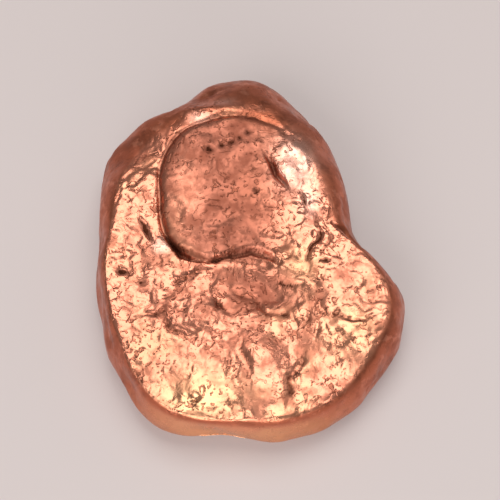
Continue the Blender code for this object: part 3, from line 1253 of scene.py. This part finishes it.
class Shader:
    """A short way to lay out one material's nodes.

    Attributes:
        material: The material being laid out.
    """

    def __init__(self, name: str) -> None:
        """Starts a material with its principled shader.

        Args:
            name: Name of the material.
        """
        self.material = bpy.data.materials.new(name)
        self.material.use_nodes = True
        self.tree = self.material.node_tree
        self.principled = self.tree.nodes["Principled BSDF"]

    def node(self, kind: str, **settings: object) -> bpy.types.Node:
        """A new node with its properties set.

        Args:
            kind: Blender's name of the node type.
            **settings: Properties of the node.

        Returns:
            The node.
        """
        made = self.tree.nodes.new(kind)
        for name, value in settings.items():
            setattr(made, name, value)
        return made

    def feed(self, node: bpy.types.Node, values: dict[str | int, object]) -> None:
        """Links outputs to a node's sockets, or sets the sockets to plain values.

        Args:
            node: The node.
            values: Outputs and plain values, by the name or number of the socket.
        """
        for key, value in values.items():
            if isinstance(value, Socket):
                self.tree.links.new(value, node.inputs[key])
            else:
                node.inputs[key].default_value = value

    def millimetres(self) -> Socket:
        """The surface's own coordinates in millimetres.

        Returns:
            The vector's socket.
        """
        coordinates = self.node("ShaderNodeTexCoord")
        scaled = self.node("ShaderNodeVectorMath", operation="SCALE")
        self.feed(scaled, {0: coordinates.outputs["Object"], "Scale": 1 / MM})
        return scaled.outputs[0]

    def stored(self, wear_map: WearMap) -> Socket:
        """One of the surface's wear maps."""
        return self.node("ShaderNodeAttribute", attribute_name=wear_map.value).outputs["Fac"]

    def noise(self, vector: Socket, size: float, detail: float, roughness: float = 0.5) -> Socket:
        """Fractal noise about 0.5.

        Args:
            vector: Where it is read.
            size: Size of its features in millimetres.
            detail: How many finer layers it has.
            roughness: Strength of the finer layers.

        Returns:
            The noise's socket.
        """
        made = self.node("ShaderNodeTexNoise")
        self.feed(made, {"Vector": vector, "Scale": 1 / size, "Detail": detail, "Roughness": roughness})
        return made.outputs["Fac"]

    def mottled(self, vector: Socket, mottle: Mottle) -> Socket:
        """A patchy mask read at the vector."""
        noise = self.noise(vector, mottle.size, mottle.detail, mottle.roughness)
        return self.ranged(noise, mottle.start, mottle.stop, mottle.least, mottle.most)

    def stroked(self, vector: Socket, strokes: Strokes) -> Socket:
        """Short winding strokes, 1 along them and 0 elsewhere.

        Args:
            vector: Where they are read.
            strokes: The strokes.

        Returns:
            The mask's socket.
        """
        noise = self.noise(vector, strokes.size, strokes.detail)
        away = self.math("ABSOLUTE", self.math("SUBTRACT", noise, 0.5))
        lines = self.ranged(away, strokes.core * strokes.width, strokes.width, 1.0, 0.0)
        moved = self.node("ShaderNodeVectorMath", operation="ADD")
        self.feed(moved, {0: vector, 1: strokes.gap_shift})
        breaks = self.noise(moved.outputs[0], strokes.gap_size * strokes.size, 1.0)
        return self.times(lines, self.ranged(breaks, *strokes.gap_ramp, 0.0, 1.0))

    def math(self, operation: str, first: object, second: object = 0.0) -> Socket:
        """One sum of two numbers.

        Args:
            operation: Blender's name of the sum.
            first: The first number or output.
            second: The second number or output.

        Returns:
            The result's socket.
        """
        made = self.node("ShaderNodeMath", operation=operation)
        self.feed(made, {0: first, 1: second})
        return made.outputs[0]

    def times(self, first: object, second: object) -> Socket:
        """The product of two numbers."""
        return self.math("MULTIPLY", first, second)

    def ranged(self, value: Socket, low: float, high: float, to_low: float, to_high: float) -> Socket:
        """A number mapped smoothly from one range to another and held at its ends.

        Args:
            value: The number.
            low: Start of its range.
            high: End of its range.
            to_low: Result at the start.
            to_high: Result at the end.

        Returns:
            The result's socket.
        """
        made = self.node("ShaderNodeMapRange", interpolation_type="SMOOTHSTEP")
        self.feed(made, {"Value": value, "From Min": low, "From Max": high})
        self.feed(made, {"To Min": to_low, "To Max": to_high})
        return made.outputs["Result"]

    def mixed(self, factor: Socket, first: object, second: Colour) -> Socket:
        """A blend of two colours.

        Args:
            factor: Share of the second colour.
            first: The first colour, or an output.
            second: The second colour.

        Returns:
            The colour's socket.
        """
        made = self.node("ShaderNodeMix", data_type="RGBA", clamp_factor=True)
        start = (*first, 1.0) if isinstance(first, tuple) else first
        self.feed(made, {0: factor, 6: start, 7: (*second, 1.0)})
        return made.outputs[2]

    def blended(self, factor: Socket, first: Socket, second: float) -> Socket:
        """A blend of two numbers.

        Args:
            factor: Share of the second number.
            first: The first number.
            second: The second number.

        Returns:
            The result's socket.
        """
        made = self.node("ShaderNodeMix", data_type="FLOAT", clamp_factor=True)
        self.feed(made, {0: factor, 2: first, 3: second})
        return made.outputs[0]

    def bumped(self, height: Socket, depth: float, strength: float, under: Socket | None = None) -> Socket:
        """A normal bent by a height map.

        Args:
            height: The height map, from 0 to 1.
            depth: Height in millimetres where the map is 1.
            strength: Strength of the effect.
            under: Normal that is already bent.

        Returns:
            The normal's socket.
        """
        made = self.node("ShaderNodeBump")
        self.feed(made, {"Height": height, "Distance": depth * MM, "Strength": strength})
        if under is not None:
            self.feed(made, {"Normal": under})
        return made.outputs["Normal"]


@dataclass(frozen=True)
class CopperFinish:
    """Weathered and tumbled native copper.

    Attributes:
        film: Colour of the thin brown film on most of the metal.
        bare: Colour where the film is rubbed away, which is also a painted highlight on bright spots.
        golden: Colour where the film is thin and yellow, which is also a painted highlight on bright spots
            and a painted reflection on the front side.
        brown: Colour of a thicker film, in patches.
        duller: Colour of the film on the less rubbed plate and hollow.
        rim: Colour of the smooth darker film on the rim and the side, which is also painted shade where
            they turn away from the light.
        marked: Colour of the film in the fine strokes and specks.
        oxide: Colour of the dark oxide in pits and creases.
        gilding: Patches of golden film.
        clouds: Patches of brown film.
        stains: Dark patches on the rim's film.
        scuffs: Bright patches on the rim's film.
        specks: Dark specks.
        patches: How dense the strokes and specks are.
        rubs: How unevenly the clean places are rubbed.
        flecks: How unevenly the oxide follows the depth.
        shine: Roughness of the surface, from the rubbed high places to the less rubbed patches.
        strokes: Fine strokes.
        stroke_depth: Their depth in millimetres.
        mark_film: Strength of the film in strokes and specks.
        rim_marks: How many of them are on the rim.
        brown_film: Strength of the brown film where its map is 1.
        oxide_ramp: Depths between which the oxide comes in, and its strength there.
        dull_rougher: How much rougher the dull places are.
        rim_rougher: How much rougher the rim is.
        crusted: Roughness of the dark oxide.
        grain: Size, detail and roughness of the finest grain.
        grain_depth: Its depth in millimetres.
        grain_strength: Its strength.
    """

    film: Colour = (0.86, 0.325, 0.205)
    bare: Colour = (0.93, 0.51, 0.40)
    golden: Colour = (0.92, 0.46, 0.25)
    brown: Colour = (0.49, 0.160, 0.095)
    duller: Colour = (0.51, 0.18, 0.115)
    rim: Colour = (0.58, 0.170, 0.090)
    marked: Colour = (0.30, 0.090, 0.050)
    oxide: Colour = (0.110, 0.032, 0.016)
    gilding: Mottle = Mottle(5.0, 3.0, 0.55, 0.54, 0.70, 0.0, 0.5)
    clouds: Mottle = Mottle(1.3, 4.0, 0.6, 0.48, 0.66, 0.0, 0.6)
    stains: Mottle = Mottle(2.2, 4.0, 0.6, 0.48, 0.64, 0.0, 0.6)
    scuffs: Mottle = Mottle(1.0, 3.0, 0.6, 0.56, 0.68, 0.0, 0.55)
    specks: Mottle = Mottle(0.34, 1.0, 0.5, 0.62, 0.70)
    patches: Mottle = Mottle(3.0, 2.0, 0.5, 0.38, 0.60, 0.25)
    rubs: Mottle = Mottle(0.35, 3.0, 0.6, 0.3, 0.6, 0.6)
    flecks: Mottle = Mottle(0.35, 3.0, 0.6, 0.35, 0.7, -0.15, 0.2)
    shine: Mottle = Mottle(1.3, 4.0, 0.6, 0.40, 0.66, 0.20, 0.44)
    strokes: Strokes = Strokes()
    stroke_depth: float = 0.035
    mark_film: float = 0.75
    rim_marks: float = 0.5
    brown_film: float = 0.75
    oxide_ramp: tuple[float, float, float, float] = (0.40, 1.0, 0.0, 0.85)
    dull_rougher: float = 0.20
    rim_rougher: float = 0.10
    crusted: float = 0.62
    grain: Triple = (0.16, 3.0, 0.65)
    grain_depth: float = 0.012
    grain_strength: float = 0.6

    def build(self) -> bpy.types.Material:
        """Lays out the material's nodes.

        Each film lies over those before it, by its own mask: golden, which is also painted highlight and
        painted reflection, duller, the rim's darker film, which is also painted shade, with its stains and
        scuffs, brown, rubbed bare, which is also painted highlight, the film in strokes and specks, and
        the dark oxide, which comes with the depth of a point in the surface. Roughness follows the same
        masks.
        Strokes, specks and grain are bumps.

        Returns:
            The material.
        """
        shader = Shader("native_copper_worn")
        place = shader.millimetres()
        rim_film_and_shade, dulled = shader.stored(WearMap.RIM_FILM_AND_SHADE), shader.stored(WearMap.DULL)
        browned, gold_and_highlight = shader.stored(WearMap.BROWN), shader.stored(WearMap.GOLD_AND_HIGHLIGHT)
        marked = shader.math("MAXIMUM", shader.stored(WearMap.ROUGH), shader.times(rim_film_and_shade, self.rim_marks))
        specks = shader.mottled(place, self.specks)
        marks = shader.math("MAXIMUM", shader.stroked(place, self.strokes), specks)
        dense = shader.math("MAXIMUM", shader.mottled(place, self.patches), browned)
        marks = shader.times(shader.times(marks, marked), dense)
        clouds = shader.math("SUBTRACT", shader.mottled(place, self.clouds), gold_and_highlight)
        depth = shader.math("ADD", shader.stored(WearMap.FINE), shader.mottled(place, self.flecks))
        deep = shader.ranged(depth, *self.oxide_ramp)
        oxide = shader.math("ADD", deep, shader.stored(WearMap.OXIDE))
        # The golden and bare films are partly painted highlights, the golden one also a painted reflection
        # on the front side, and the rim's film is partly painted shade.
        films = (
            (shader.math("ADD", shader.mottled(place, self.gilding), gold_and_highlight), self.golden),
            (dulled, self.duller),
            (rim_film_and_shade, self.rim),
            (shader.times(shader.mottled(place, self.stains), rim_film_and_shade), self.marked),
            (shader.times(shader.mottled(place, self.scuffs), rim_film_and_shade), self.film),
            (shader.math("MAXIMUM", clouds, shader.times(browned, self.brown_film)), self.brown),
            (shader.times(shader.stored(WearMap.BARE_AND_HIGHLIGHT), shader.mottled(place, self.rubs)), self.bare),
            (shader.times(marks, self.mark_film), self.marked),
            (oxide, self.oxide),
        )
        colour = self.film
        for mask, film in films:
            colour = shader.mixed(mask, colour, film)
        worn = shader.mottled(place, self.shine)
        for mask, rougher in ((dulled, self.dull_rougher), (rim_film_and_shade, self.rim_rougher)):
            worn = shader.math("ADD", worn, shader.times(mask, rougher))
        cut = shader.bumped(shader.math("SUBTRACT", 1.0, marks), self.stroke_depth, 1.0)
        grain = shader.noise(place, *self.grain)
        finish = {
            "Base Color": colour,
            "Metallic": 1.0,
            "Roughness": shader.blended(oxide, worn, self.crusted),
            "Normal": shader.bumped(grain, self.grain_depth, self.grain_strength, cut),
        }
        shader.feed(shader.principled, finish)
        return shader.material


@dataclass(frozen=True)
class FloorFinish:
    """A pale, slightly glossy floor, lit a little from below like a light table.

    Attributes:
        colour: Its colour.
        roughness: Its roughness.
        glow: Strength of its own light.
    """

    colour: Colour = (0.50, 0.44, 0.430)
    roughness: float = 0.42
    glow: float = 0.34

    def build(self) -> bpy.types.Material:
        """Makes the material.

        Returns:
            The material.
        """
        shader = Shader("pale_floor")
        finish = {
            "Base Color": (*self.colour, 1.0),
            "Roughness": self.roughness,
            "Emission Color": (*self.colour, 1.0),
            "Emission Strength": self.glow,
        }
        shader.feed(shader.principled, finish)
        return shader.material


@dataclass(frozen=True)
class SoftLight:
    """A rectangular soft light that faces the nugget.

    Attributes:
        name: Its name.
        towards: Direction from the nugget to the light.
        distance: Distance in metres.
        size: Width and height in metres.
        power: Power in watts.
        colour: Its colour.
    """

    name: str
    towards: Triple
    distance: float
    size: Pair
    power: float
    colour: Colour = (1.0, 1.0, 1.0)


# Lights from above, from the left front, from the right back and low from the front.
SOFT_LIGHTS = (
    SoftLight("overhead", (0.08, 0.27, 0.96), 0.60, (0.46, 0.42), 1.5, (1.0, 0.98, 0.95)),
    SoftLight("left_front", (-0.42, -0.64, 0.62), 0.60, (0.50, 0.38), 1.7, (1.0, 0.99, 0.98)),
    SoftLight("right_back", (0.75, 0.35, 0.55), 0.60, (0.22, 0.20), 0.12),
    SoftLight("low_front", (0.05, -0.95, 0.30), 0.60, (0.50, 0.16), 1.00, (1.0, 0.97, 0.95)),
)


@dataclass(frozen=True)
class Studio:
    """The plain stage: a pale floor, soft lights and the camera.

    Attributes:
        floor_half: Half the floor's side in metres.
        world_strength: Brightness of the surroundings.
        world_colour: Their colour.
        elevation: The camera's height above the horizon, in degrees.
        lens: Focal length in millimetres.
        distance: Distance of the camera in metres.
        aim: Point that the camera looks at, in metres.
        clip: Nearest and farthest distance that the camera shows, in metres.
    """

    floor_half: float = 1.2
    world_strength: float = 0.25
    world_colour: Colour = (1.0, 0.99, 0.98)
    elevation: float = 61.0
    lens: float = 250.0
    distance: float = 0.250
    aim: Triple = (0.0, 0.0, 0.0034)
    clip: Pair = (0.01, 10.0)

    def floor(self) -> bpy.types.Object:
        """The floor, a flat sheet at the level that the nugget rests on.

        Returns:
            The floor's object.
        """
        h = self.floor_half
        mesh = bpy.data.meshes.new("floor")
        mesh.from_pydata([(-h, -h, 0), (h, -h, 0), (h, h, 0), (-h, h, 0)], [], [(0, 1, 2, 3)])
        mesh.materials.append(FloorFinish().build())
        floor = bpy.data.objects.new("floor", mesh)
        bpy.context.scene.collection.objects.link(floor)
        return floor

    def lights(self) -> None:
        """The soft lights, each turned to face the nugget, and the dim surroundings."""
        for light in SOFT_LIGHTS:
            lamp = bpy.data.lights.new(light.name, "AREA")
            lamp.shape = "RECTANGLE"
            lamp.size, lamp.size_y = light.size
            lamp.energy = light.power
            lamp.color = light.colour
            holder = bpy.data.objects.new(light.name, lamp)
            towards = Vector(light.towards).normalized()
            holder.location = towards * light.distance
            holder.rotation_euler = (-towards).to_track_quat("-Z", "Y").to_euler()
            bpy.context.scene.collection.objects.link(holder)
        world = bpy.data.worlds.new("studio")
        world.use_nodes = True
        background = world.node_tree.nodes["Background"]
        background.inputs["Color"].default_value = (*self.world_colour, 1.0)
        background.inputs["Strength"].default_value = self.world_strength
        bpy.context.scene.world = world

    def camera(self) -> None:
        """A long lens that looks down at the face from the broad end."""
        data = bpy.data.cameras.new("camera")
        data.lens = self.lens
        camera = bpy.data.objects.new("camera", data)
        angle = math.radians(self.elevation)
        back = Vector((0, -math.cos(angle), math.sin(angle)))
        camera.location = Vector(self.aim) + back * self.distance
        camera.rotation_euler = (-back).to_track_quat("-Z", "Y").to_euler()
        data.clip_start, data.clip_end = self.clip
        bpy.context.scene.collection.objects.link(camera)
        bpy.context.scene.camera = camera

    def build(self) -> None:
        """Sets the stage and the plain colour transform."""
        self.floor()
        self.lights()
        self.camera()
        bpy.context.scene.view_settings.view_transform = "Standard"


def main() -> None:
    """Loads the frame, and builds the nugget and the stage."""
    logging.basicConfig(level=logging.INFO, format="%(name)s: %(message)s")
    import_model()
    piece = NuggetPiece(NuggetForm(), Skin(), Wear()).build()
    piece.data.materials.append(CopperFinish().build())
    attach(piece, "root")
    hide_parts(NODE)
    Studio().build()
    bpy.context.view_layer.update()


if __name__ == "__main__":
    main()
